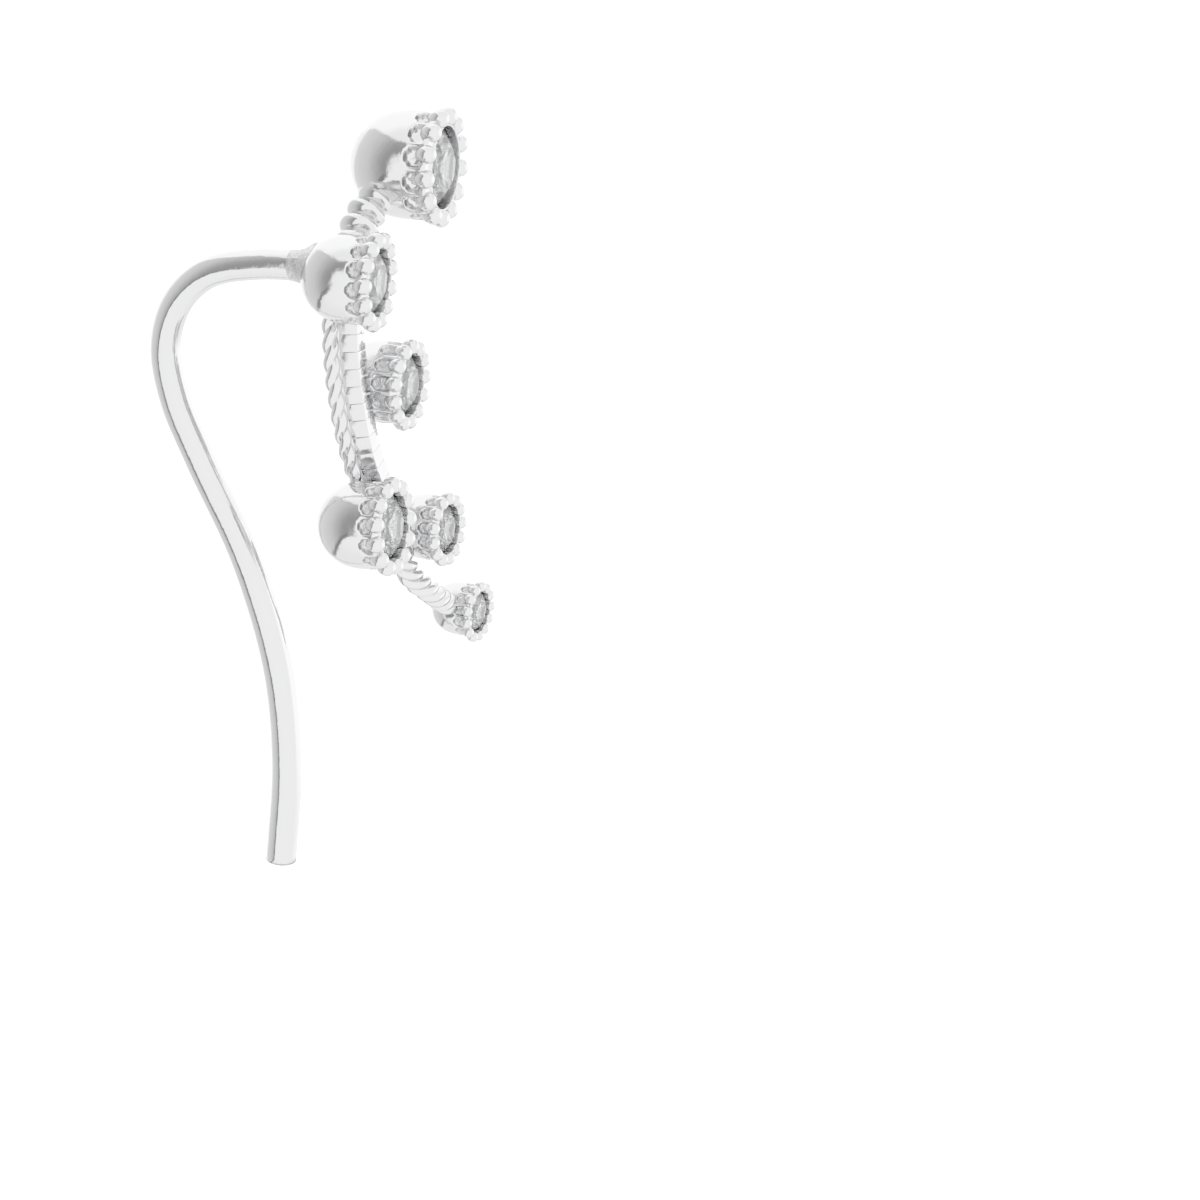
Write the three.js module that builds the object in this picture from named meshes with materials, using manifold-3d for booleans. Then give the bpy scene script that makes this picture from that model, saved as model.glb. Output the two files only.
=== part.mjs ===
// Ear climber in polished white metal with six round white stones.
//
// A curved stem climbs the edge of the ear. It is a row of beads between two twisted wires, and it
// carries six round cups, each crowned with beads and holding one brilliant-cut stone. A plain round
// ear wire is soldered to the back of the second cup: it arches over behind the ear lobe and runs
// down to a blunt end. All the metal is soldered together, so it is one solid. Each stone is loose
// in its cup by a hair, so it is a solid of its own.
//
// Everything is first placed as it is worn: X is across the ear, Y is up, and Z points out of the
// front. The finished climber is then laid down on its right side, where it rests by itself on the
// rims of the top and bottom cups and on the bend of the ear wire. Millimetres, +Z up.

import * as THREE from "three";
import { ConvexGeometry } from "three/addons/geometries/ConvexGeometry.js";
import { mergeVertices } from "three/addons/utils/BufferGeometryUtils.js";
import Module from "manifold-3d";

const wasm = await Module();
wasm.setup();

// ---------------------------------------------------------------- driving dimensions (mm, degrees)

// The six settings from top to bottom. across, up, out: the middle of the ring of beads.
// stone: diameter of the stone. ring: radius of the ring of bead centres. bead: diameter of a bead.
// depth: from the ring of beads back to the middle of the round bottom. turn, nod: which way the
// stone faces, in degrees to the right and up.
const SETTINGS = [
  { across: 2.44, up: 7.2, out: 0.13, stone: 2.6, ring: 1.7, bead: 0.64, depth: 1.35, turn: 3, nod: 0 },
  { across: -2.58, up: 4.98, out: -0.2, stone: 2.2, ring: 1.38, bead: 0.58, depth: 1.13, turn: 4, nod: -1 },
  { across: -0.11, up: 0.53, out: -0.29, stone: 2.0, ring: 1.28, bead: 0.54, depth: 1.1, turn: 0, nod: -1 },
  { across: -3.46, up: -3.09, out: 0.35, stone: 2.2, ring: 1.37, bead: 0.58, depth: 1.13, turn: 0, nod: 3 },
  { across: 0.66, up: -4.7, out: 0.51, stone: 1.55, ring: 1.02, bead: 0.46, depth: 0.86, turn: -4, nod: 1 },
  { across: 2.22, up: -8.16, out: 0.85, stone: 1.33, ring: 0.85, bead: 0.37, depth: 0.8, turn: -5, nod: -2 },
];
const CUP_BODY = 1.05; // radius of the round bottom and the band, as a share of the ring
const BEADS_PER_RING = 13;
const CUP_SIDES = BEADS_PER_RING;
const COLUMN_SIDES = 6;
const COLUMN_LENGTH = 0.7; // of the cup's depth
const COLUMN_WIDTH = 0.5; // of the bead
const SEAT_GAP = 0.06; // clearance round a stone

// Brilliant cut, as shares of the stone's radius.
const TABLE = 0.53;
const STAR = 0.745;
const LOWER_HALF = 0.22;
const CROWN_SLOPE = Math.tan(THREE.MathUtils.degToRad(34.5));
const PAVILION_SLOPE = Math.tan(THREE.MathUtils.degToRad(40.75));
const GIRDLE = 0.025;
const GIRDLE_BELOW_BEADS = 0.42; // of a bead, from the bead centres down to the girdle

// The middle line of the stem, from the foot of the top cup down to the bottom cup, and the size of
// its cross-section there.
const STEM = [
  { across: 1.35, up: 6.55, out: -1.75, size: 1.15 },
  { across: 0.4, up: 6.0, out: -2.0, size: 1.2 },
  { across: -0.86, up: 5.0, out: -2.0, size: 1.1 },
  { across: -1.83, up: 2.94, out: -1.92, size: 1 },
  { across: -2.24, up: 0.67, out: -1.62, size: 1 },
  { across: -2.16, up: -1.41, out: -1.26, size: 0.95 },
  { across: -1.4, up: -3.75, out: -0.74, size: 0.85 },
  { across: -0.56, up: -5.94, out: -0.36, size: 0.75 },
  { across: 0.29, up: -6.83, out: -0.03, size: 0.72 },
  { across: 1.55, up: -7.75, out: 0.02, size: 0.7 },
];
// What the stem is made of, side by side: a row of beads with a twisted wire on either side.
// aside, out: from the middle line to the strand. corners: where its outline shows, in degrees.
// lay: how far each corner's hollows are shifted along from the last one's, which makes the twist.
const STRANDS = [
  { aside: -0.44, out: -0.16, radius: 0.25, waist: 0.17, corners: [230, 175, 120], lay: 1 },
  { aside: 0, out: 0.12, radius: 0.38, waist: 0.27, corners: [140, 108, 72, 40], lay: 0 },
  { aside: 0.44, out: -0.16, radius: 0.25, waist: 0.17, corners: [60, 5, -50], lay: 2 },
];
const BEAD_PITCH = 0.56;
const RINGS_PER_BEAD = 3;
const NECK_RADIUS = 0.34;
const NECK_BELOW_MIDDLE = 0.45; // of the ring, below the middle of the round bottom

// The ear wire lies in one plane, straight behind the second cup.
const WIRE_RADIUS = 0.5;
const EAR_WIRE = [
  { up: 5.26, out: -2.3 },
  { up: 5.16, out: -4.3 },
  { up: 4.67, out: -6.15 },
  { up: 3.55, out: -7.3 },
  { up: 2.01, out: -7.82 },
  { up: 0.2, out: -7.58 },
  { up: -1.89, out: -6.75 },
  { up: -5.15, out: -5.3 },
  { up: -8.87, out: -4.34 },
  { up: -12.2, out: -4.18 },
  { up: -15.62, out: -4.57 },
];
const WIRE_SIDES = 10;
const WIRE_STEPS = 30;
const TIP_CHAMFER = 0.16;
const SOLDER_CONE = { length: 0.5, radius: 0.72 };

// How the climber lies: rolled about its length on to its right side, then levelled.
const ROLL = 49.03;
const LEVEL = 6.72;

const POLISHED_METAL = { color: 0xe9eaec, metalness: 1, roughness: 0.12 };
const WHITE_STONE = { color: 0xf7f9fb, metalness: 0, roughness: 0.02 };

// ---------------------------------------------------------------- helpers

const OUT = new THREE.Vector3(0, 0, 1);

// A closed geometry, moved by a matrix, as a solid that can be joined to others.
function solid(geometry, matrix = new THREE.Matrix4()) {
  const bare = geometry.clone().applyMatrix4(matrix);
  bare.deleteAttribute("normal");
  bare.deleteAttribute("uv");
  const merged = mergeVertices(bare, 1e-4);
  return new wasm.Manifold(
    new wasm.Mesh({
      numProp: 3,
      vertProperties: new Float32Array(merged.attributes.position.array),
      triVerts: new Uint32Array(merged.index.array),
    }),
  );
}

function joinAll(solids) {
  return solids.reduce((whole, next) => whole.add(next));
}

function geometryOf(whole) {
  const mesh = whole.getMesh();
  const geometry = new THREE.BufferGeometry();
  geometry.setAttribute("position", new THREE.BufferAttribute(mesh.vertProperties, 3));
  geometry.setIndex(new THREE.BufferAttribute(mesh.triVerts, 1));
  geometry.computeVertexNormals();
  return geometry;
}

function place({ across, up, out }) {
  return new THREE.Vector3(across, up, out);
}

// The place and facing of a setting: its own Y axis points out of the front of the stone.
function settingMatrix(setting) {
  const turn = THREE.MathUtils.degToRad(setting.turn);
  const nod = THREE.MathUtils.degToRad(setting.nod);
  const forward = new THREE.Matrix4().makeRotationX(Math.PI / 2 - nod);
  const sideways = new THREE.Matrix4().makeRotationY(turn);
  return new THREE.Matrix4().setPosition(place(setting)).multiply(sideways).multiply(forward);
}

// Where the cross-section sits at a share t of a curve, with its right and its front.
function sectionFrame(curve, t) {
  const middle = curve.getPointAt(t);
  const along = curve.getTangentAt(t);
  const right = new THREE.Vector3().crossVectors(OUT, along).normalize();
  const front = new THREE.Vector3().crossVectors(along, right).normalize();
  return { middle, right, front };
}

// ---------------------------------------------------------------- the stem

const stemLine = new THREE.CatmullRomCurve3(STEM.map(place), false, "centripetal");

function sizeAt(share) {
  const along = stemLine.getUtoTmapping(share) * (STEM.length - 1);
  const row = Math.min(Math.floor(along), STEM.length - 2);
  return THREE.MathUtils.lerp(STEM[row].size, STEM[row + 1].size, along - row);
}

// One corner of a strand's outline, pushed out to a radius.
function cornerOf(strand, angle, radius) {
  const turned = THREE.MathUtils.degToRad(angle);
  return new THREE.Vector2(
    strand.aside + radius * Math.cos(turned),
    strand.out + radius * Math.sin(turned),
  );
}

// The stem is one bar whose outline takes in all three strands. It is drawn through straight rings,
// then each ring is laid on the stem's middle line and its corners sink in where a strand has a waist.
function stem() {
  const length = stemLine.getLength();
  const beads = Math.round(length / BEAD_PITCH);
  const steps = beads * RINGS_PER_BEAD;
  const corners = STRANDS.flatMap((strand) =>
    strand.corners.map((angle, index) => ({
      full: cornerOf(strand, angle, strand.radius),
      sunk: cornerOf(strand, angle, strand.waist),
      waistRing: (index * strand.lay) % RINGS_PER_BEAD,
    })));
  const outline = new THREE.Shape(corners.map(({ full }) => full));
  const bar = new THREE.ExtrudeGeometry(outline, { depth: length, steps, bevelEnabled: false });
  const points = bar.attributes.position;
  for (let i = 0; i < points.count; i += 1) {
    const ring = Math.round((points.getZ(i) / length) * steps);
    const drawn = new THREE.Vector2(points.getX(i), points.getY(i));
    const corner = corners.find(({ full }) => full.distanceTo(drawn) < 1e-4);
    const section = ring % RINGS_PER_BEAD === corner.waistRing ? corner.sunk : corner.full;
    const { middle, right, front } = sectionFrame(stemLine, ring / steps);
    const size = sizeAt(ring / steps);
    middle.addScaledVector(right, size * section.x).addScaledVector(front, size * section.y);
    points.setXYZ(i, middle.x, middle.y, middle.z);
  }
  return solid(bar);
}

// ---------------------------------------------------------------- the settings

// A cup turned about its own Y axis: round bottom, plain band, then a narrower wall that stands
// behind the columns, and a seat cut to the shape of the stone's underside.
function cup({ stone, ring, bead, depth }) {
  const body = CUP_BODY * ring;
  const wall = ring - 0.2 * bead;
  const mouth = stone / 2 + SEAT_GAP;
  const girdle = -GIRDLE_BELOW_BEADS * bead;
  const culet = girdle - (stone / 2) * PAVILION_SLOPE;
  const profile = [];
  for (const angle of [0, 30, 60, 90]) {
    const turned = THREE.MathUtils.degToRad(angle);
    profile.push(new THREE.Vector2(body * Math.sin(turned), -depth - body * Math.cos(turned)));
  }
  profile.push(new THREE.Vector2(body, -depth * COLUMN_LENGTH));
  profile.push(new THREE.Vector2(wall, -depth * COLUMN_LENGTH));
  profile.push(new THREE.Vector2(wall, 0));
  profile.push(new THREE.Vector2(mouth, 0));
  profile.push(new THREE.Vector2(mouth, girdle - 2 * SEAT_GAP));
  profile.push(new THREE.Vector2(0, culet - 2.5 * SEAT_GAP));
  return new THREE.LatheGeometry(profile, CUP_SIDES);
}

// One column with the bead on its tip, turned as one and stood on the cup's shoulder.
function column({ ring, bead, depth }, angle) {
  const foot = -depth * COLUMN_LENGTH - 0.05;
  const post = (bead * COLUMN_WIDTH) / 2;
  const profile = [
    new THREE.Vector2(0, foot),
    new THREE.Vector2(post, foot),
    new THREE.Vector2(post, -0.42 * bead),
    new THREE.Vector2(0.5 * bead, -0.12 * bead),
    new THREE.Vector2(0.4 * bead, 0.3 * bead),
    new THREE.Vector2(0, 0.5 * bead),
  ];
  const matrix = new THREE.Matrix4().makeRotationY(angle);
  matrix.multiply(new THREE.Matrix4().makeTranslation(0, 0, ring));
  return solid(new THREE.LatheGeometry(profile, COLUMN_SIDES), matrix);
}

function settingInMetal(setting) {
  const pieces = [solid(cup(setting))];
  for (let i = 0; i < BEADS_PER_RING; i += 1) {
    pieces.push(column(setting, (i / BEADS_PER_RING) * 2 * Math.PI));
  }
  const matrix = settingMatrix(setting);
  return joinAll(pieces).transform(matrix.elements);
}

// The short neck of solder between the stem and the round bottom of a cup.
function neck(setting) {
  const inBottom = -setting.depth - NECK_BELOW_MIDDLE * setting.ring;
  const bottom = new THREE.Vector3(0, inBottom, 0).applyMatrix4(settingMatrix(setting));
  const onStem = stemLine.getSpacedPoints(200).reduce((best, point) =>
    point.distanceTo(bottom) < best.distanceTo(bottom) ? point : best);
  const tube = new THREE.LineCurve3(onStem, bottom);
  return solid(roundTube(tube, NECK_RADIUS, 6, 1));
}

// ---------------------------------------------------------------- the ear wire

function roundTube(curve, radius, sides, steps) {
  const section = new THREE.Shape();
  for (let i = 0; i < sides; i += 1) {
    const angle = (i / sides) * 2 * Math.PI;
    const corner = [radius * Math.cos(angle), radius * Math.sin(angle)];
    if (i === 0) section.moveTo(...corner);
    else section.lineTo(...corner);
  }
  section.closePath();
  return new THREE.ExtrudeGeometry(section, { extrudePath: curve, steps, bevelEnabled: false });
}

function earWire() {
  const { across } = SETTINGS[1];
  const points = EAR_WIRE.map(({ up, out }) => new THREE.Vector3(across, up, out));
  const curve = new THREE.CatmullRomCurve3(points, false, "centripetal");
  const wire = solid(roundTube(curve, WIRE_RADIUS, WIRE_SIDES, WIRE_STEPS));

  // The blunt end: a short turned tip with its corner taken off.
  const tip = new THREE.CylinderGeometry(WIRE_RADIUS, WIRE_RADIUS - TIP_CHAMFER, TIP_CHAMFER, WIRE_SIDES);
  tip.translate(0, -TIP_CHAMFER / 2, 0);
  const down = curve.getTangentAt(1).negate();
  const tipMatrix = new THREE.Matrix4()
    .makeRotationFromQuaternion(new THREE.Quaternion().setFromUnitVectors(new THREE.Vector3(0, 1, 0), down))
    .setPosition(curve.getPointAt(1).addScaledVector(down, 0.02));

  // The solder cone where the wire meets the cup.
  const cone = new THREE.CylinderGeometry(SOLDER_CONE.radius, WIRE_RADIUS, SOLDER_CONE.length, WIRE_SIDES);
  cone.rotateX(Math.PI / 2).translate(across, points[0].y, points[0].z - SOLDER_CONE.length);
  return joinAll([wire, solid(tip, tipMatrix), solid(cone)]);
}

// ---------------------------------------------------------------- the stones

// A brilliant cut is convex, so its corners alone give its facets.
function brilliant({ stone, bead }) {
  const radius = stone / 2;
  const corners = [];
  const ringOf = (count, share, height, offset = 0) => {
    for (let i = 0; i < count; i += 1) {
      const angle = ((i + offset) / count) * 2 * Math.PI;
      corners.push(
        new THREE.Vector3(share * Math.sin(angle), height, share * Math.cos(angle)).multiplyScalar(radius),
      );
    }
  };
  const halfStep = Math.cos(Math.PI / 8);
  ringOf(8, TABLE, GIRDLE + (1 - TABLE) * CROWN_SLOPE);
  ringOf(8, STAR, GIRDLE + (1 - STAR * halfStep) * CROWN_SLOPE, 0.5);
  ringOf(16, 1, GIRDLE);
  ringOf(16, 1, -GIRDLE);
  ringOf(8, LOWER_HALF, -GIRDLE - (1 - LOWER_HALF * halfStep) * PAVILION_SLOPE, 0.5);
  corners.push(new THREE.Vector3(0, (-GIRDLE - PAVILION_SLOPE) * radius, 0));
  return new ConvexGeometry(corners).translate(0, -GIRDLE_BELOW_BEADS * bead, 0);
}

// ---------------------------------------------------------------- the climber

function mesh(name, geometry, finish) {
  const piece = new THREE.Mesh(geometry, new THREE.MeshStandardMaterial(finish));
  piece.name = name;
  return piece;
}

const worn = new THREE.Group();
const metal = joinAll([stem(), ...SETTINGS.map(settingInMetal), ...SETTINGS.map(neck), earWire()]);
worn.add(mesh("climber_frame", geometryOf(metal), POLISHED_METAL));
SETTINGS.forEach((setting, index) => {
  const gem = mesh(`stone_${index + 1}`, brilliant(setting), WHITE_STONE);
  gem.applyMatrix4(settingMatrix(setting));
  worn.add(gem);
});
worn.rotation.set(THREE.MathUtils.degToRad(LEVEL), THREE.MathUtils.degToRad(ROLL), 0);

// Stand the lowest point on the ground, with the middle of the footprint at the origin.
const climber = new THREE.Group();
climber.add(worn);
climber.updateMatrixWorld(true);
const box = new THREE.Box3().setFromObject(climber, true);
const middle = box.getCenter(new THREE.Vector3());
worn.position.set(-middle.x, -middle.y, -box.min.z);
climber.updateMatrixWorld(true);

export default climber;
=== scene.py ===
# %% [markdown]
# # An ear climber, dressed over its solids
#
# The piece is a small climber earring in polished white metal: a stem of beads between two twisted
# wires, six round cups crowned with beads, a clear stone in each cup, and one long bent ear wire.
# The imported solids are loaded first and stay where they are. Every piece made here is drawn in
# millimetres as the climber is worn (across the ear, up, out of the front) and is then laid down
# over the solids in metres.

# %% Load the solids
import math

import bpy
from mathutils import Matrix, Vector


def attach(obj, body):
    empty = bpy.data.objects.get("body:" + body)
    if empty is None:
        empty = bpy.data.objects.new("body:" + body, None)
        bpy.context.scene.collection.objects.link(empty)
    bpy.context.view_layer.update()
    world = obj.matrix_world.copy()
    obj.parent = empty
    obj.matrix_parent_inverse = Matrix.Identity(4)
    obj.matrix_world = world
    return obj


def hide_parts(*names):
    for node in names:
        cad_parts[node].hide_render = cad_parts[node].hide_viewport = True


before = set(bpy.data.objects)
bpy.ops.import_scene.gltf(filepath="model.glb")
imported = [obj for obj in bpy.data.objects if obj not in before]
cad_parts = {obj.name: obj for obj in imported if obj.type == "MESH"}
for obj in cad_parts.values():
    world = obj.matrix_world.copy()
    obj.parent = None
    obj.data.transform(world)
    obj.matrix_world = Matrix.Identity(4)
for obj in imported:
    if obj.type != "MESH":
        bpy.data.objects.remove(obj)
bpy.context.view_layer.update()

MM = 0.001  # a millimetre in metres
IN_MM = 1000  # a metre in millimetres

# %% [markdown]
# The sizes are the maker's own list. They are those of the solids, apart from hundredths at the ear
# wire's arch and tip. Each setting has the middle of its ring of beads, the stone's diameter, the
# ring's radius, the bead's diameter, the depth of the cup and the way it faces. The beads and the
# pockets in the wall behind them are not quite in step on the real one, so each has its own turn
# round the cup, and the pockets have their length as a share of the ring's radius. The stem and the
# ear wire are each a list of points that a smooth line goes through.

# %% Sizes in millimetres and degrees
SETTINGS = [
    dict(at=(2.44, 7.2, 0.13), stone=2.6, ring=1.7, bead=0.64, depth=1.35, turn=3, nod=0,
         beads_round=15, pockets_round=4, pocket=0.48),
    dict(at=(-2.58, 4.98, -0.2), stone=2.2, ring=1.38, bead=0.58, depth=1.13, turn=4, nod=-1,
         beads_round=7, pockets_round=-1, pocket=0.48),
    dict(at=(-0.11, 0.53, -0.29), stone=2.0, ring=1.28, bead=0.54, depth=1.1, turn=0, nod=-1,
         beads_round=0, pockets_round=14, pocket=0.66),
    dict(at=(-3.46, -3.09, 0.35), stone=2.2, ring=1.37, bead=0.58, depth=1.13, turn=0, nod=3,
         beads_round=-2, pockets_round=14, pocket=0.48),
    dict(at=(0.66, -4.7, 0.51), stone=1.55, ring=1.02, bead=0.46, depth=0.86, turn=-4, nod=1,
         beads_round=0, pockets_round=14, pocket=0.58),
    dict(at=(2.22, -8.16, 0.85), stone=1.33, ring=0.85, bead=0.37, depth=0.8, turn=-5, nod=-2,
         beads_round=0, pockets_round=14, pocket=0.62),
]
STEM = [  # place, and how big the section is there
    ((1.35, 6.55, -1.75), 1.15), ((0.4, 6.0, -2.0), 1.2), ((-0.86, 5.0, -2.0), 1.1),
    ((-1.83, 2.94, -1.92), 1.0), ((-2.24, 0.67, -1.62), 1.0), ((-2.16, -1.41, -1.26), 0.95),
    ((-1.4, -3.75, -0.74), 0.85), ((-0.56, -5.94, -0.36), 0.75), ((0.29, -6.83, -0.03), 0.72),
    ((1.55, -7.75, 0.02), 0.7),
]
WIRE_ACROSS = -2.58  # the ear wire lies in one plane, behind the second cup
EAR_WIRE = [(WIRE_ACROSS, up, out) for up, out in (
    (5.26, -2.3), (5.16, -4.3), (4.67, -6.15), (3.55, -7.3), (2.01, -7.795), (0.2, -7.57),
    (-1.89, -6.75), (-5.15, -5.3), (-8.87, -4.34), (-12.2, -4.18), (-15.7, -4.54))]
WIRE_RADIUS = 0.5
BEADS_PER_RING = 13
GIRDLE_BACK = 0.42  # how far the stone's edge is behind the ring of beads, in beads
ROLL, LEVEL = 49.03, 6.72

# %% [markdown]
# The climber lies on its right side: it is rolled about its length and then levelled. Where it
# ends up on the floor is read from the solids. The point under each stone is its lowest corner
# along the way it faces, and the same point is worked out from the list above, so the difference
# between the two is how far everything has to be moved. All six stones must agree.

# %% Lay the drawing down on the solids
GIRDLE_HALF = 0.025  # half the thickness of a stone's edge, as a share of its radius
PAVILION_ANGLE = 40.75  # how steep the underside of a stone is


def facing(setting):
    """Where a setting is and how it faces: its own Z points out of the stone."""
    turn = Matrix.Rotation(math.radians(setting["turn"]), 4, "Y")
    nod = Matrix.Rotation(math.radians(-setting["nod"]), 4, "X")
    return Matrix.Translation(setting["at"]) @ turn @ nod


rolled = Matrix.Rotation(math.radians(LEVEL), 4, "X") @ Matrix.Rotation(math.radians(ROLL), 4, "Y")
edge_to_point = GIRDLE_HALF + math.tan(math.radians(PAVILION_ANGLE))
moves = []
for number, setting in enumerate(SETTINGS, 1):
    corners = [v.co * IN_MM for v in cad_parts[f"stone_{number}"].data.vertices]
    out_of_stone = (rolled @ facing(setting)).to_3x3() @ Vector((0, 0, 1))
    lowest = min(corners, key=out_of_stone.dot)
    below = GIRDLE_BACK * setting["bead"] + edge_to_point * setting["stone"] / 2
    moves.append(lowest - rolled @ facing(setting) @ Vector((0, 0, -below)))
moved = sum(moves, Vector()) / len(moves)
LAID_DOWN = Matrix.Scale(MM, 4) @ Matrix.Translation(moved) @ rolled
print("moved by", [round(v, 3) for v in moved], "mm, stones agree to",
      round(max((m - moved).length for m in moves), 4), "mm")

# %% [markdown]
# A few workshop habits. Everything is deselected before a new piece is started, because the loaded
# solids are still selected. A finished piece gets its place baked into its mesh, a finish, the
# body that it rides on and the solid that it stands for.

# %% Workshop helpers: picking and cleaning
SAME_POINT = 0.0005  # points nearer than this are merged


def pick(*pieces):
    """Select these pieces alone, with the last one active."""
    bpy.ops.object.select_all(action="DESELECT")
    for piece in pieces:
        piece.select_set(True)
    bpy.context.view_layer.objects.active = pieces[-1]


def select_faces(piece, wanted):
    """In edit mode, select the faces whose middle passes a test."""
    bpy.ops.mesh.select_mode(type="FACE")
    bpy.ops.mesh.select_all(action="DESELECT")
    bpy.ops.object.mode_set(mode="OBJECT")
    for face in piece.data.polygons:
        face.select = wanted(face.center)
    bpy.ops.object.mode_set(mode="EDIT")


def tidy_mesh(piece):
    """Merge doubles and turn every face outwards."""
    pick(piece)
    bpy.ops.object.mode_set(mode="EDIT")
    bpy.ops.mesh.select_all(action="SELECT")
    bpy.ops.mesh.remove_doubles(threshold=SAME_POINT)
    bpy.ops.mesh.normals_make_consistent(inside=False)
    bpy.ops.object.mode_set(mode="OBJECT")


# %% Workshop helpers: starting, rounding and finishing a piece
def opened(name):
    """Name the new primitive, bake its place, and open it for editing with all of it selected."""
    piece = bpy.context.object
    piece.name = piece.data.name = name
    bpy.ops.object.transform_apply(location=True, rotation=True, scale=True)
    bpy.ops.object.mode_set(mode="EDIT")
    bpy.ops.mesh.select_all(action="SELECT")
    return piece


def turned(name, rings, around):
    """A turned piece about its own Z: one circle, extruded ring by ring, closed at both ends."""
    radius, height = rings[0]
    bpy.ops.object.select_all(action="DESELECT")
    bpy.ops.mesh.primitive_circle_add(
        vertices=around, radius=radius, fill_type="NGON", location=(0, 0, height))
    piece = opened(name)
    for (before, low), (after, high) in zip(rings, rings[1:]):
        bpy.ops.mesh.extrude_region_move(TRANSFORM_OT_translate={"value": (0, 0, high - low)})
        bpy.ops.transform.resize(
            value=(after / before, after / before, 1), center_override=(0, 0, 0))
    bpy.ops.object.mode_set(mode="OBJECT")
    return piece


def round_off(piece):
    """Round a piece by one level of subdivision."""
    pick(piece)
    smooth = piece.modifiers.new("round", "SUBSURF")
    smooth.levels = smooth.render_levels = 1
    bpy.ops.object.modifier_apply(modifier=smooth.name)


def finish_piece(piece, finish, replaced, place=Matrix()):
    """Lay a drawn piece down on the solids, polish it, and say what it is."""
    pick(piece)
    piece.matrix_world = LAID_DOWN @ place
    bpy.ops.object.transform_apply(location=True, rotation=True, scale=True)
    bpy.ops.object.shade_smooth()
    piece.data.materials.clear()
    piece.data.materials.append(finish)
    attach(piece, "root")
    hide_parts(replaced)
    print(piece.name, len(piece.data.polygons), "faces,",
          [round(v * IN_MM, 2) for v in piece.dimensions], "mm")


# %% [markdown]
# The metal is brass or silver under a bright rhodium plate, polished by hand. Such a plate is
# almost a mirror, but never quite: polishing leaves faint soft waves in the reflections and a
# slight haze where the wheel did not reach. Two noises on the object's own coordinates give
# that, one for the waves and one for the haze. The Mapping node turns metres into millimetres.
# The wheel never reaches into the pockets of the cups' walls, which keep the uneven skin of the
# casting, and their plate is also painted a little darker as painted shade in the recesses. The
# mouth round each stone is painted darker still, as painted shade beside the stone. The seat under
# a stone is painted brighter than any plate, a painted light that the stone sends back up.

# %% Polished white metal
def new_finish(name):
    """A material that is ready for nodes."""
    finish = bpy.data.materials.new(name)
    finish.use_nodes = True
    return finish


def add_haze(finish, place, scale, detail, least, most):
    """Let the roughness wander between two values, by a noise of this scale."""
    nodes, links = finish.node_tree.nodes, finish.node_tree.links
    haze = nodes.new("ShaderNodeTexNoise")
    haze.inputs["Scale"].default_value = scale
    haze.inputs["Detail"].default_value = detail
    links.new(place, haze.inputs["Vector"])
    haze_range = nodes.new("ShaderNodeMapRange")
    haze_range.inputs["To Min"].default_value = least
    haze_range.inputs["To Max"].default_value = most
    links.new(haze.outputs["Fac"], haze_range.inputs["Value"])
    links.new(haze_range.outputs["Result"], nodes["Principled BSDF"].inputs["Roughness"])


def white_metal(name, base, least_haze, most_haze, wave_size=2.2, wave_height=0.04):
    """The plate: its colour, how hazy it is, and the waves, so many to a millimetre."""
    finish = new_finish(name)
    nodes, links = finish.node_tree.nodes, finish.node_tree.links
    shader = nodes["Principled BSDF"]
    shader.inputs["Base Color"].default_value = (*base, 1)
    shader.inputs["Metallic"].default_value = 1.0
    where = nodes.new("ShaderNodeTexCoord")
    in_mm = nodes.new("ShaderNodeMapping")
    in_mm.inputs["Scale"].default_value = (IN_MM, IN_MM, IN_MM)
    links.new(where.outputs["Object"], in_mm.inputs["Vector"])
    add_haze(finish, in_mm.outputs["Vector"], scale=1.6, detail=3,
             least=least_haze, most=most_haze)
    waves = nodes.new("ShaderNodeTexNoise")
    waves.inputs["Scale"].default_value = wave_size
    waves.inputs["Detail"].default_value = 4
    waves.inputs["Roughness"].default_value = 0.6
    links.new(in_mm.outputs["Vector"], waves.inputs["Vector"])
    bump = nodes.new("ShaderNodeBump")
    bump.inputs["Strength"].default_value = 0.25
    bump.inputs["Distance"].default_value = wave_height / IN_MM
    links.new(waves.outputs["Fac"], bump.inputs["Height"])
    links.new(bump.outputs["Normal"], shader.inputs["Normal"])
    return finish


RHODIUM = white_metal("polished_rhodium", (0.79, 0.79, 0.795), least_haze=0.05, most_haze=0.17)
# Pockets: rougher, with stronger bumps for the cast skin, and a darker base that is painted shade.
ROUGH_SKIN_AND_PAINTED_SHADE = white_metal("rhodium_rough_skin_painted_shade", (0.72, 0.72, 0.725), least_haze=0.04, most_haze=0.18,
                    wave_size=6, wave_height=0.7)
# Mouth round the stones: a much darker base, painted shade beside the stone.
PAINTED_SHADE_IN_MOUTH = white_metal("rhodium_painted_shade_round_stones", (0.62, 0.62, 0.625), least_haze=0.1, most_haze=0.25,
                   wave_size=6, wave_height=0.4)
# Seat under the stones: a near-white base, painted light sent back up through the stone.
PAINTED_LIGHT_UNDER_STONES = white_metal("rhodium_painted_light_under_stones", (0.96, 0.96, 0.96), least_haze=0.03, most_haze=0.1)
print("finishes:", RHODIUM.name, ROUGH_SKIN_AND_PAINTED_SHADE.name, PAINTED_SHADE_IN_MOUTH.name, PAINTED_LIGHT_UNDER_STONES.name)

# %% [markdown]
# The stones are clear cubic zirconia, cut as round brilliants. Their facets are already true in
# the solids, so the solids stay and only get their finish: a clear, dense glass with an index of
# refraction of about 2.15, a little white in its body, and the faintest haze on its facets so that
# no two of them are quite alike. Its noise is read in metres, so its scale is a large number.

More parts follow.
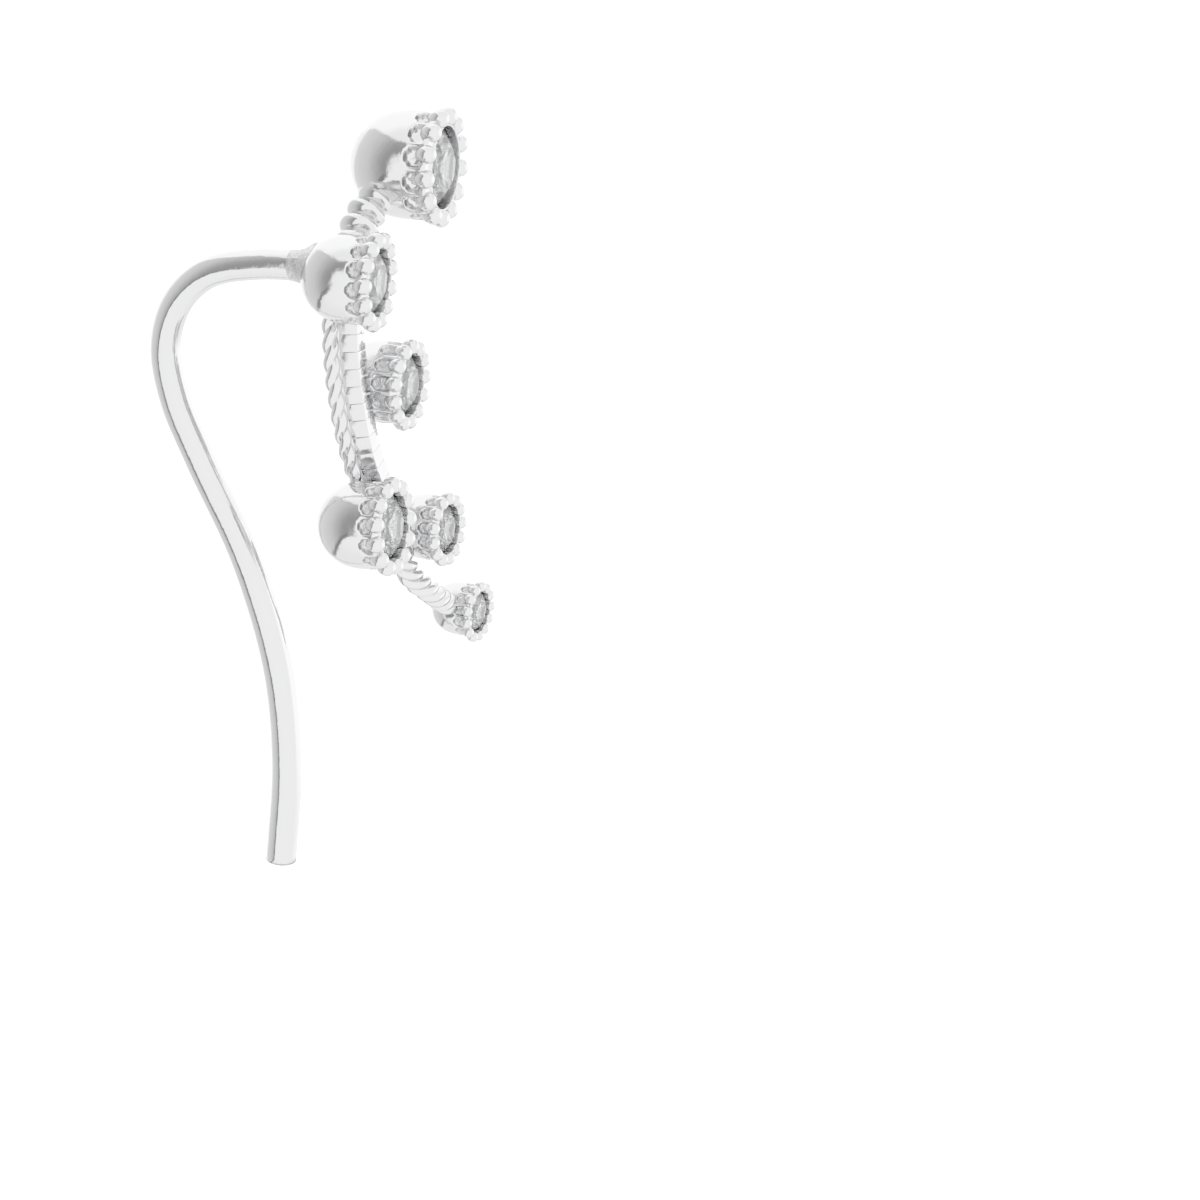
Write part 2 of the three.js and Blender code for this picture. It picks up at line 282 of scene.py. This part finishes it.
# %% Clear cut stone
ZIRCONIA = new_finish("cubic_zirconia")
shader = ZIRCONIA.node_tree.nodes["Principled BSDF"]
shader.inputs["Base Color"].default_value = (0.985, 0.99, 1.0, 1)
shader.inputs["IOR"].default_value = 2.15
shader.inputs["Transmission Weight"].default_value = 0.83
where = ZIRCONIA.node_tree.nodes.new("ShaderNodeTexCoord")
add_haze(ZIRCONIA, where.outputs["Object"], scale=1500, detail=2, least=0.0, most=0.03)
for number in range(1, len(SETTINGS) + 1):
    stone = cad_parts[f"stone_{number}"]
    stone.data.materials.clear()
    stone.data.materials.append(ZIRCONIA)
print("finish:", ZIRCONIA.name, "on", len(SETTINGS), "stones")

# %% [markdown]
# A setting is cast in one: a round bottom, a plain band, and a wall with thirteen upright pockets
# whose ends are round. Thin columns are left between the pockets. Inside, a low lip holds the
# stone. The body is a circle extruded ring by ring, up the outside, over the lip and down the
# inside, so the wall has its true thickness. The pockets are patches of faces sunk into the wall
# in two steps, and subdivision then rounds their edges and floors.

# %% The profile of a cup
CUP_BODY, LAST_CUP_BODY = 1.05, 1.025  # radius of the round bottom, as a share of the ring's
BOTTOM_ANGLES = (7, 18, 31, 45, 60, 75, 90)  # the rings of the round bottom, up from its pole
SEAT_GAP = 0.035  # between the stone's edge and the wall
CULET_DROP = 0.887  # from a stone's edge to its point, as a share of its radius
POCKET_TOP = 0.2  # how far the pockets end behind the ring of beads, in beads
END_ROW = 0.075  # height of a pocket's round end, as a share of the ring's radius
LIP = 0.13  # how far the lip stands out of the ring of beads, in beads


def cup_sizes(setting):
    """Where things are on a cup: radii, and heights from the ring of beads, outwards."""
    ring, bead, girdle = setting["ring"], setting["bead"], setting["stone"] / 2
    last = setting is SETTINGS[-1]
    return dict(
        girdle=girdle, body=(LAST_CUP_BODY if last else CUP_BODY) * ring, inner=girdle + SEAT_GAP,
        back=-setting["pocket"] * ring, front=-POCKET_TOP * bead, end_row=END_ROW * ring,
        lip=LIP * bead, culet=-GIRDLE_BACK * bead - CULET_DROP * girdle)


def cup_profile(depth, body, inner, girdle, back, front, end_row, lip, culet):
    """Radius and height of each ring, up the outside, over the lip and down to the seat. The
    small steps that round the rim, the lip and the seat are in millimetres."""
    bottom = [(body * math.sin(math.radians(a)), -depth - body * math.cos(math.radians(a)))
              for a in BOTTOM_ANGLES]
    band = [(body, 0.5 * (back - depth)), (body, back - 0.03)]
    wall = [(body, height) for height in (
        back, back + end_row, (back + front) / 2, front - end_row, front)]
    over_the_lip = [
        (body - 0.02, front + 0.06), (body - 0.09, -0.02), (girdle + 0.18, -0.02),
        (girdle + 0.15, lip), (girdle + 0.07, lip + 0.02), (girdle + 0.04, lip - 0.03)]
    inside = [(inner, front), (inner, back), (inner, back - 0.05)]
    seat = [(inner * 0.8, culet - 0.02), (inner * 0.4, culet - 0.09), (0.1, culet - 0.1)]
    return bottom + band + wall + over_the_lip + inside + seat


# %% The body of a cup
COLUMN_FACES, POCKET_FACES = 1, 4
AROUND = BEADS_PER_RING * (COLUMN_FACES + POCKET_FACES)
ON_THE_WALL = 0.99  # faces further out than this share of the body's radius are on the wall
OFF_A_COLUMN, OFF_AT_AN_END = 0.1, 0.3  # where a pocket starts, in pitches from a column's middle
POCKET_STEPS = (0.25, 0.4)  # how far each step sinks it, as a share of the wall's thickness
POCKET_RIM = 0.03  # width of the slope between the steps, as a share of the ring's radius
# The faces between these depths take the pockets' finish with its painted shade.
SHADED_POCKET_OUTER, SHADED_POCKET_INNER = 0.03, 0.22  # a pocket's faces are between these two depths in the wall
# The mouth's painted shade reaches down to this depth.
MOUTH_DEPTH = 0.5  # how deep the mouth goes, in beads


def turn_round(degrees):
    """In edit mode, turn what is selected round the cup."""
    bpy.ops.transform.rotate(
        value=-math.radians(degrees), orient_axis="Z", center_override=(0, 0, 0))


def cup_body(name, setting):
    """The cup without its beads, and which of its faces are pockets, mouth and seat."""
    at = cup_sizes(setting)
    body, back, front, culet = at["body"], at["back"], at["front"], at["culet"]
    piece = turned(name, cup_profile(setting["depth"], **at), around=AROUND)

    def in_pocket(middle):
        steps = math.degrees(math.atan2(middle.y, middle.x)) / (360 / BEADS_PER_RING)
        off_column = abs((steps + 0.5) % 1 - 0.5)
        at_an_end = middle.z < back + at["end_row"] or middle.z > front - at["end_row"]
        on_the_wall = middle.xy.length > body * ON_THE_WALL and back < middle.z < front
        return on_the_wall and off_column > (OFF_AT_AN_END if at_an_end else OFF_A_COLUMN)

    pick(piece)
    bpy.ops.object.mode_set(mode="EDIT")
    bpy.ops.mesh.select_all(action="SELECT")
    turn_round(180 / AROUND)
    bpy.ops.mesh.normals_make_consistent(inside=False)
    select_faces(piece, in_pocket)
    sunk, deeper = (1 - share * (body - at["inner"]) / body for share in POCKET_STEPS)
    bpy.ops.mesh.extrude_region_move()
    bpy.ops.transform.resize(value=(sunk, sunk, 1), center_override=(0, 0, 0))
    bpy.ops.mesh.inset(thickness=POCKET_RIM * setting["ring"], use_even_offset=True)
    bpy.ops.transform.resize(value=(deeper, deeper, 1), center_override=(0, 0, 0))
    bpy.ops.mesh.select_all(action="SELECT")
    turn_round(setting["pockets_round"] - 90)
    bpy.ops.object.mode_set(mode="OBJECT")
    round_off(piece)
    pockets, mouth, seat = [], [], []
    mouth_floor = -MOUTH_DEPTH * setting["bead"]
    for face in piece.data.polygons:
        across, height = face.center.xy.length, face.center.z
        in_shaded_pocket = body - SHADED_POCKET_INNER < across < body - SHADED_POCKET_OUTER
        if in_shaded_pocket and -setting["depth"] < height < front:
            pockets.append(face.index)
        elif mouth_floor < height < at["lip"] - 0.02 and across < at["girdle"] + 0.1:
            mouth.append(face.index)
        elif culet - 0.15 < height < mouth_floor and across < at["inner"] + 0.01:
            seat.append(face.index)
    print(name, "has", len(pockets), "faces in its pockets,", len(mouth), "in its mouth and",
          len(seat), "in its seat")
    return piece, pockets, mouth, seat


# %% [markdown]
# The bead is a small ball whose back runs into the wall in a short taper. It sits a little back
# from the rim. One is modelled, and then spun round the ring in edit mode to make the other twelve.

# %% The ring of beads
RING_SHARE, BEAD_SHARE = 0.985, 0.98  # the beads are a little smaller and nearer than listed
SET_BACK = 0.04
TAPER_START = 0.28  # how far behind its middle the taper starts, in beads
TAPER = ((0.12, 0.85, 0.03), (0.14, 0.6, 0.05))  # backwards in beads, narrowed to, inwards in beads
FLATTENED = 0.5  # each step of the taper leaves its end this much flatter


def bead_ring(name, setting):
    """The thirteen beads of a cup, each with its taper."""
    ring, bead = RING_SHARE * setting["ring"], BEAD_SHARE * setting["bead"]
    bpy.ops.object.select_all(action="DESELECT")
    bpy.ops.mesh.primitive_uv_sphere_add(
        segments=20, ring_count=12, radius=bead / 2, location=(0, -ring, -SET_BACK))
    piece = opened(name)
    select_faces(piece, lambda middle: middle.z < -SET_BACK - TAPER_START * bead)
    for backwards, narrower, inwards in TAPER:
        bpy.ops.mesh.extrude_region_move(
            TRANSFORM_OT_translate={"value": (0, inwards * bead, -backwards * bead)})
        piece.update_from_editmode()
        picked = [point.co for point in piece.data.vertices if point.select]
        middle = sum(picked, Vector()) / len(picked)
        bpy.ops.transform.resize(value=(narrower, narrower, FLATTENED), center_override=middle)
    bpy.ops.mesh.select_all(action="SELECT")
    bpy.ops.mesh.spin(
        steps=BEADS_PER_RING, dupli=True, angle=2 * math.pi, use_auto_merge=False,
        center=(0, 0, 0), axis=(0, 0, 1))
    bpy.ops.mesh.select_all(action="SELECT")
    bpy.ops.mesh.remove_doubles(threshold=SAME_POINT)
    turn_round(setting["beads_round"])
    bpy.ops.object.mode_set(mode="OBJECT")
    return piece


# %% The six settings
for number, setting in enumerate(SETTINGS, 1):
    body, *patches = cup_body(f"setting_{number}", setting)
    beads = bead_ring(f"beads_{number}", setting)
    pick(beads, body)
    bpy.ops.object.join()
    finish_piece(body, RHODIUM, "climber_frame", facing(setting))
    # Extra slots: the pockets' painted shade, the mouth's painted shade and the seat's painted
    # light.
    for slot, (painted_tone, faces) in enumerate(zip((ROUGH_SKIN_AND_PAINTED_SHADE, PAINTED_SHADE_IN_MOUTH, PAINTED_LIGHT_UNDER_STONES), patches), 1):
        body.data.materials.append(painted_tone)
        for index in faces:
            body.data.polygons[index].material_index = slot

# %% [markdown]
# The stem's strands are modelled straight, along X, and are then bent along the stem's middle line
# by a Curve modifier. The line carries the size of the section as its radius, so the strands get
# finer towards the bottom cup.

# %% Smooth lines
STEPS_BETWEEN = 40  # how finely the line is worked out between two given points


def smooth_path(points, count):
    """Points along a smooth line through the given ones, evenly spaced (centripetal spline)."""
    points = [Vector(p) for p in points]
    points = [2 * points[0] - points[1], *points, 2 * points[-1] - points[-2]]
    fine = []
    for a, b, c, d in zip(points, points[1:], points[2:], points[3:]):
        t1 = (b - a).length ** 0.5
        t2 = t1 + (c - b).length ** 0.5
        t3 = t2 + (d - c).length ** 0.5
        for step in range(STEPS_BETWEEN):
            t = t1 + (t2 - t1) * step / STEPS_BETWEEN
            ab, bc = a.lerp(b, t / t1), b.lerp(c, (t - t1) / (t2 - t1))
            cd = c.lerp(d, (t - t2) / (t3 - t2))
            abc, bcd = ab.lerp(bc, t / t2), bc.lerp(cd, (t - t1) / (t3 - t1))
            fine.append(abc.lerp(bcd, (t - t1) / (t2 - t1)))
    fine.append(points[-2])
    lengths = [0.0]
    for a, b in zip(fine, fine[1:]):
        lengths.append(lengths[-1] + (b - a).length)
    even, at = [], 0
    for step in range(count):
        wanted = lengths[-1] * step / (count - 1)
        while at < len(fine) - 2 and lengths[at + 1] < wanted:
            at += 1
        share = (wanted - lengths[at]) / (lengths[at + 1] - lengths[at])
        even.append(fine[at].lerp(fine[at + 1], share))
    return even, lengths[-1]


def line_through(name, path):
    """A curve of straight steps through the points of a path."""
    bpy.ops.object.select_all(action="DESELECT")
    bpy.ops.curve.primitive_nurbs_path_add(location=(0, 0, 0))
    line = bpy.context.object
    line.name = name
    line.data.splines.clear()
    points = line.data.splines.new("POLY").points
    points.add(len(path) - 1)
    for point, place in zip(points, path):
        point.co = (*place, 1)
    return line


# %% The stem's middle line
STEM_POINTS = 120
stem_places, stem_sizes = zip(*STEM)
stem_path, stem_length = smooth_path(stem_places, STEM_POINTS)


def nearest_on_stem(place):
    """The number of the point of the stem's line that is nearest to a place."""
    return min(range(STEM_POINTS), key=lambda i: (stem_path[i] - place).length)


stem_joints = [nearest_on_stem(Vector(place)) for place in stem_places]


def size_at(index):
    """How big the section is at one point of the stem's line."""
    for a, b, size, next_size in zip(stem_joints, stem_joints[1:], stem_sizes, stem_sizes[1:]):
        if a <= index <= b:
            return size + (next_size - size) * (index - a) / (b - a)


stem_line = line_through("stem_line", stem_path)
for index, point in enumerate(stem_line.data.splines[0].points):
    point.radius = size_at(index)
stem_line.data.twist_mode = "Z_UP"
stem_line.data.use_radius = True
stem_line.data.use_stretch = False
print("stem:", round(stem_length, 2), "mm long")


def bend_along_stem(piece):
    """Bend a straight strand along the stem's middle line."""
    pick(piece)
    bend = piece.modifiers.new("bend", "CURVE")
    bend.object = stem_line
    bend.deform_axis = "POS_X"
    bpy.ops.object.modifier_apply(modifier=bend.name)


# %% [markdown]
# A twisted wire is two fine round wires wound round each other. Each is drawn as a small circle
# beside the axis and swept by a Screw modifier, and its two open ends are filled. There is one on
# the left of the stem and one on the right, wound the other way, so the right one is made with a
# negative pitch. They start beside the second cup and end near the fourth. From there to the last
# cup the stem is a single thick rope of three strands.

# %% The twisted wires on both sides
FIRST_STRETCH = 0.14  # where the two wires start, as a share of the stem
LAST_STRETCH = 0.745  # where the single rope starts
STRAND_SIDES = 14
STEPS_PER_TURN = 24


def wound(name, aside, out, radius, pitch, strand, start, end, strands=2):
    """A rope of round strands along the stem, between two shares of its length. A strand's radius
    is given as a share of the rope's."""
    strand *= radius
    turns = round((end - start) * stem_length / abs(pitch))
    wires = []
    for side in range(strands):
        angle = 2 * math.pi * side / strands
        bpy.ops.object.select_all(action="DESELECT")
        bpy.ops.mesh.primitive_circle_add(
            vertices=STRAND_SIDES, radius=strand, rotation=(0, math.radians(90), 0),
            fill_type="NGON",
            location=(0, math.cos(angle) * (radius - strand), math.sin(angle) * (radius - strand)))
        wire = bpy.context.object
        bpy.ops.object.transform_apply(location=True, rotation=True, scale=True)
        wind = wire.modifiers.new("wind", "SCREW")
        wind.axis = "X"
        wind.screw_offset = pitch
        wind.iterations = turns
        wind.steps = wind.render_steps = STEPS_PER_TURN
        wind.use_normal_calculate = True
        bpy.ops.object.modifier_apply(modifier=wind.name)
        wires.append(wire)
    pick(*wires)
    bpy.ops.object.join()
    piece = bpy.context.object
    piece.name = piece.data.name = name
    bpy.ops.object.mode_set(mode="EDIT")
    bpy.ops.mesh.select_all(action="SELECT")
    shift = 0 if pitch > 0 else turns * abs(pitch)
    bpy.ops.transform.translate(value=(shift, 0, 0))
    stretch = (end - start) * stem_length / (turns * abs(pitch))
    bpy.ops.transform.resize(value=(stretch, 1, 1), center_override=(0, 0, 0))
    bpy.ops.transform.translate(value=(start * stem_length, aside, out))
    bpy.ops.mesh.fill_holes(sides=STRAND_SIDES)
    bpy.ops.object.mode_set(mode="OBJECT")
    tidy_mesh(piece)
    bend_along_stem(piece)
    finish_piece(piece, RHODIUM, "climber_frame")


wound("twisted_wire_left", aside=-0.5, out=-0.14, radius=0.29, pitch=1.12, strand=0.74,
      start=FIRST_STRETCH, end=LAST_STRETCH)
wound("twisted_wire_right", aside=0.42, out=0.35, radius=0.27, pitch=-1.12, strand=0.68,
      start=FIRST_STRETCH, end=LAST_STRETCH)
wound("rope_to_last_cup", aside=0, out=0, radius=0.55, pitch=-1.3, strand=0.54,
      start=LAST_STRETCH, end=1, strands=3)

# %% [markdown]
# Between the twisted wires sits the row of beads. They are pillows more than balls, and so tightly
# packed that the row is almost a smooth bar with shallow joints. A cube is bevelled to make one,
# and an Array modifier repeats it. At the top, from the first cup to beside the second, the stem
# is five big round beads and nothing else.

# %% The rows of beads
ROW_START = FIRST_STRETCH * stem_length
ROW_LENGTH = (LAST_STRETCH - FIRST_STRETCH) * stem_length
PILLOW = (0.605, 0.72, 0.94)  # along the stem, across it and out
PILLOW_PITCH = 0.56
PILLOW_OUT = 0.26
ROUND_BEAD = (0.4, 0.52, 0.58)  # its radii, in the same order
ROUND_PITCH = 0.63
ROUND_COUNT = 5
FIRST_ROUND = (0.3, 0, 0.1)


def repeated(piece, pitch, count):
    """Repeat a bead along the stem, bend the row and finish it."""
    pick(piece)
    repeat = piece.modifiers.new("repeat", "ARRAY")
    repeat.use_relative_offset = False
    repeat.use_constant_offset = True
    repeat.constant_offset_displace = (pitch, 0, 0)
    repeat.count = count
    bpy.ops.object.modifier_apply(modifier=repeat.name)
    bend_along_stem(piece)
    finish_piece(piece, RHODIUM, "climber_frame")


first = (ROW_START + PILLOW_PITCH / 2, 0, PILLOW_OUT)
bpy.ops.object.select_all(action="DESELECT")
bpy.ops.mesh.primitive_cube_add(size=1, location=first)
bead_row = opened("bead_row")
bpy.ops.transform.resize(value=PILLOW, center_override=first)
bpy.ops.mesh.bevel(offset=0.05, segments=3, affect="EDGES")
bpy.ops.object.mode_set(mode="OBJECT")
repeated(bead_row, PILLOW_PITCH, int(ROW_LENGTH / PILLOW_PITCH))

bpy.ops.object.select_all(action="DESELECT")
bpy.ops.mesh.primitive_uv_sphere_add(
    segments=24, ring_count=14, radius=1, location=FIRST_ROUND)
round_beads = opened("round_beads")
bpy.ops.transform.resize(value=ROUND_BEAD, center_override=FIRST_ROUND)
bpy.ops.object.mode_set(mode="OBJECT")
repeated(round_beads, ROUND_PITCH, ROUND_COUNT)

# %% [markdown]
# A strip of solder behind ties the strands together. It is a bevelled bar, cut across many times
# so that it can follow the bend of the stem. It is the last piece that needs the stem's line.

# %% The solder strip behind the stem
STRIP_WIDTH, STRIP_THICKNESS, STRIP_OUT = 0.78, 0.42, -0.08
STRIP_PARTS = 50
half_way = (ROW_START + ROW_LENGTH / 2, 0, STRIP_OUT)
bpy.ops.object.select_all(action="DESELECT")
bpy.ops.mesh.primitive_cube_add(size=1, location=half_way)
strip = opened("solder_strip")
bpy.ops.transform.resize(
    value=(ROW_LENGTH, STRIP_WIDTH, STRIP_THICKNESS), center_override=half_way)
select_faces(strip, lambda middle: abs(middle.x - half_way[0]) < 0.1)  # its four long sides
bpy.ops.mesh.bevel(offset=0.08, segments=2, affect="EDGES")
for index in range(1, STRIP_PARTS):
    bpy.ops.mesh.select_all(action="SELECT")
    bpy.ops.mesh.bisect(
        plane_co=(ROW_START + ROW_LENGTH * index / STRIP_PARTS, 0, 0), plane_no=(1, 0, 0))
bpy.ops.object.mode_set(mode="OBJECT")
bend_along_stem(strip)
finish_piece(strip, RHODIUM, "climber_frame")
bpy.data.objects.remove(stem_line)

# %% [markdown]
# Each cup is soldered to the stem by a short neck, which flares where the solder ran out at both
# ends. It is a turned piece, stood on the nearest point of the stem and pointed at the cup.

# %% The necks
NECK_IN_CUP = 0.45  # how deep it goes into the round bottom, as a share of the ring's radius
NECK_RADII = [0.34 * share for share in (1.1, 1.1, 1.1, 1.1, 0.85, 0.85)]  # finer at small cups
NECK = (  # shares of the radius and of the reach
    (1.25, 0), (1.2, 0.2), (1, 0.4), (0.95, 0.6), (1.1, 0.85), (1.1, 1))
for number, (setting, wide) in enumerate(zip(SETTINGS, NECK_RADII), 1):
    inside = facing(setting) @ Vector((0, 0, -setting["depth"] - NECK_IN_CUP * setting["ring"]))
    foot = stem_path[nearest_on_stem(inside)]
    reach = inside - foot
    rings = [(wide * share, reach.length * up_to) for share, up_to in NECK]
    neck = turned(f"neck_{number}", rings, around=20)
    tidy_mesh(neck)
    round_off(neck)
    stand = Matrix.Translation(foot) @ reach.to_track_quat("Z", "Y").to_matrix().to_4x4()
    finish_piece(neck, RHODIUM, "climber_frame", stand)

# %% [markdown]
# The ear wire is one length of plain round wire: out of the solder behind the second cup, over in
# a tight arch, and down in a slow S to a blunt end. A curve with a round bevel is turned into a
# mesh, and the edge of the tip is rounded off in five short steps, each extruded and drawn in.

# %% The ear wire
WIRE_POINTS = 150
TIP_ROUNDING = 0.22
TIP_ANGLES = (20, 40, 60, 78, 90)
wire_path, wire_length = smooth_path(EAR_WIRE, WIRE_POINTS)
tip, end = wire_path[-1], (wire_path[-1] - wire_path[-2]).normalized()
wire = line_through("ear_wire", wire_path)
wire.data.bevel_depth = WIRE_RADIUS
wire.data.bevel_resolution = 10
wire.data.use_fill_caps = True
pick(wire)
bpy.ops.object.convert(target="MESH")
wire = bpy.context.object
tidy_mesh(wire)
bpy.ops.object.mode_set(mode="EDIT")
select_faces(wire, lambda middle: (middle - tip).length < 0.02)  # the flat cap
reached, wide = 0.0, WIRE_RADIUS
for angle in TIP_ANGLES:
    further = TIP_ROUNDING * math.sin(math.radians(angle))
    narrow = WIRE_RADIUS - TIP_ROUNDING * (1 - math.cos(math.radians(angle)))
    bpy.ops.mesh.extrude_region_move(TRANSFORM_OT_translate={"value": end * (further - reached)})
    bpy.ops.transform.resize(value=(narrow / wide,) * 3, center_override=tip + end * further)
    reached, wide = further, narrow
bpy.ops.object.mode_set(mode="OBJECT")
print("ear wire:", round(wire_length, 2), "mm long")
finish_piece(wire, RHODIUM, "climber_frame")

# %% [markdown]
# Where the wire meets the cup the solder has run out into a small cone. It is a turned piece with
# hollow sides, like a trumpet's bell, widest against the cup. It takes the pockets' rough skin,
# with its base painted darker than the plate as painted shade.

# %% The solder cone
CONE = [  # radius, and how far towards the cup
    (0.49, -0.1), (0.505, 0), (0.52, 0.15), (0.55, 0.3), (0.6, 0.44), (0.69, 0.58), (0.8, 0.72),
    (0.86, 0.82), (0.7, 1.1)]
CONE_PLACE = (WIRE_ACROSS, 5.25, -3.2)
cone = turned("solder_cone", CONE, around=24)
tidy_mesh(cone)
round_off(cone)
finish_piece(cone, ROUGH_SKIN_AND_PAINTED_SHADE, "climber_frame", Matrix.Translation(CONE_PLACE))

# %% [markdown]
# The climber lies on a white light table that glows softly, so that hardly any shadow is left.
# Polished metal would mirror all that white and vanish in it. A studio hangs cards round such a
# piece for it to mirror instead, so the table is hidden from glossy rays and the metal sees the
# cards of the room below.

# %% The light table
bpy.ops.object.select_all(action="DESELECT")
bpy.ops.mesh.primitive_plane_add(size=4, location=(0, 0, 0))
table = bpy.context.object
table.name = "light_table"
glow = new_finish("glowing_white")
shader = glow.node_tree.nodes["Principled BSDF"]
shader.inputs["Base Color"].default_value = (0.4, 0.4, 0.4, 1)
shader.inputs["Roughness"].default_value = 0.9
shader.inputs["Specular IOR Level"].default_value = 0.0
shader.inputs["Emission Color"].default_value = (1, 1, 1, 1)
shader.inputs["Emission Strength"].default_value = 0.86
table.data.materials.append(glow)
table.visible_glossy = False
print("table:", table.name, "in", glow.name)

# %% [markdown]
# The room is pale all round. One tall grey card stands on the left of the climber's top, darkest
# along its upper edge, and a darker one peeps out behind it: they give the domes their grey caps,
# the arch its dark band and the long wire the thin dark line down its left side. White cards stand
# on the right and low down on the left. A card is a range of bearings and heights in the room,
# with soft edges, and its tone may change with height.

# %% The room, and what its cards are made with
room = bpy.data.worlds.new("studio")
bpy.context.scene.world = room
room.use_nodes = True
nodes, links = room.node_tree.nodes, room.node_tree.links
backdrop = nodes["Background"]
direction = nodes.new("ShaderNodeTexCoord")
BRIGHTEST = 1.3  # the ramps below give shares of this
COLOUR_A, COLOUR_B, COLOUR_OUT = 6, 7, 2  # a Mix node's sockets for colours


def calculate(operation, first, second=None):
    """One sum, on values or on what other nodes give."""
    node = nodes.new("ShaderNodeMath")
    node.operation = operation
    for socket, value in zip(node.inputs, (first, second)):
        if isinstance(value, (int, float)):
            socket.default_value = value
        elif value is not None:
            links.new(value, socket)
    return node.outputs["Value"]


split = nodes.new("ShaderNodeSeparateXYZ")
links.new(direction.outputs["Generated"], split.inputs["Vector"])
steepness = calculate("MULTIPLY", calculate("ARCSINE", split.outputs["Z"]), 180 / math.pi)
up_the_room = calculate("DIVIDE", calculate("ADD", steepness, 90), 180)


def tones(*stops):
    """Tones up the room, each a height in degrees and how bright it is there."""
    ramp = nodes.new("ShaderNodeValToRGB")
    links.new(up_the_room, ramp.inputs["Fac"])
    while len(ramp.color_ramp.elements) < len(stops):
        ramp.color_ramp.elements.new(1.0)
    for element, (degrees, tone) in zip(ramp.color_ramp.elements, sorted(stops)):
        element.position = (degrees + 90) / 180
        element.color = (tone / BRIGHTEST,) * 3 + (1,)
    return ramp.outputs["Color"]


def soft_step(value, start, end):
    """Nothing before the start, all after the end, and a soft edge between."""
    node = nodes.new("ShaderNodeMapRange")
    node.interpolation_type = "SMOOTHSTEP"
    node.inputs["From Min"].default_value = start
    node.inputs["From Max"].default_value = end
    links.new(value, node.inputs["Value"])
    return node.outputs["Result"]


# %% The cards
def card(behind, tone, bearing, left, right, bottom, top, soft, lean=0.0):
    """Hang a card in front of what is there. Its sides are degrees off its bearing, its ends are
    heights, and its right side may lean: so many degrees further out for each degree down."""
    turn = nodes.new("ShaderNodeVectorRotate")
    turn.rotation_type = "Z_AXIS"
    turn.inputs["Angle"].default_value = math.radians(-bearing)
    links.new(direction.outputs["Generated"], turn.inputs["Vector"])
    turned_to_it = nodes.new("ShaderNodeSeparateXYZ")
    links.new(turn.outputs["Vector"], turned_to_it.inputs["Vector"])
    off = calculate("ARCTAN2", turned_to_it.outputs["Y"], turned_to_it.outputs["X"])
    off = calculate("MULTIPLY", off, 180 / math.pi)
    leaning = calculate("ADD", off, calculate("MULTIPLY", steepness, lean))
    sides = calculate("MULTIPLY", soft_step(off, left - soft, left + soft),
                      soft_step(leaning, right + soft, right - soft))
    ends = calculate("MULTIPLY", soft_step(steepness, bottom - soft, bottom + soft),
                     soft_step(steepness, top + soft, top - soft))
    hung = nodes.new("ShaderNodeMix")
    hung.data_type = "RGBA"
    links.new(calculate("MULTIPLY", sides, ends), hung.inputs["Factor"])
    links.new(behind, hung.inputs[COLOUR_A])
    links.new(tone, hung.inputs[COLOUR_B])
    return hung.outputs[COLOUR_OUT]


BARE_ROOM = (-90, 1.12), (-65, 1.1), (-50, 0.97), (-10, 0.99), (15, 1.05), (90, 1.07)
LOW_WHITE = (-90, 1.18), (0, 1.18)
TALL_WHITE = (-90, 1.2), (40, 1.22)
DARK = (-50, 0.6), (-30, 0.3), (-10, 0.24), (24, 0.2)
GREY = ((-60, 0.86), (-40, 0.8), (-15, 0.72), (-5, 0.64), (5, 0.54), (15, 0.42), (22, 0.36),
        (30, 0.36))
light_in_room = tones(*BARE_ROOM)
light_in_room = card(light_in_room, tones(*LOW_WHITE), bearing=80, left=-42, right=42,
                     bottom=-90, top=-12, soft=14)
light_in_room = card(light_in_room, tones(*TALL_WHITE), bearing=-8, left=-22, right=22,
                     bottom=-80, top=26, soft=9)
light_in_room = card(light_in_room, tones(*DARK), bearing=157, left=-38, right=55,
                     bottom=-50, top=24, soft=1.5, lean=0.8)
light_in_room = card(light_in_room, tones(*GREY), bearing=157, left=-38, right=48,
                     bottom=-60, top=27, soft=3, lean=0.8)
links.new(light_in_room, backdrop.inputs["Color"])
backdrop.inputs["Strength"].default_value = BRIGHTEST
print("room:", len(nodes), "nodes")

# %% [markdown]
# The camera looks almost straight down at the lying climber, turned so that the climber stands
# upright in the picture and shows its left side. The lens is very long, as for small jewellery,
# so the cups keep their true sizes.

# %% The camera
TOWARDS_CAMERA = Vector((-0.860, 0.367, 0.354))
PICTURE_RIGHT = Vector((0.368, -0.034, 0.929))
PICTURE_WIDTH = 39.0
AIM_RIGHT, AIM_DOWN = 5.85, 6.5  # from where the drawing has its zero to the picture's middle
view_axes = rolled.to_3x3()
back = (view_axes @ TOWARDS_CAMERA).normalized()
right = view_axes @ PICTURE_RIGHT
right = (right - back * right.dot(back)).normalized()
up = back.cross(right)
camera_data = bpy.data.cameras.new("camera")
camera_data.lens = 400
camera_data.sensor_width = 36
camera = bpy.data.objects.new("camera", camera_data)
bpy.context.scene.collection.objects.link(camera)
distance = PICTURE_WIDTH * camera_data.lens / camera_data.sensor_width
middle = moved + AIM_RIGHT * right - AIM_DOWN * up
spot = (middle + back * distance) * MM
camera.matrix_world = Matrix((
    (right.x, up.x, back.x, spot.x), (right.y, up.y, back.y, spot.y),
    (right.z, up.z, back.z, spot.z), (0, 0, 0, 1)))
camera_data.clip_start, camera_data.clip_end = 0.01, 10
bpy.context.scene.camera = camera
bpy.context.scene.view_settings.view_transform = "Standard"
print("camera", round(distance), "mm away,",
      round(math.degrees(math.acos(back.z)), 1), "degrees off straight down")
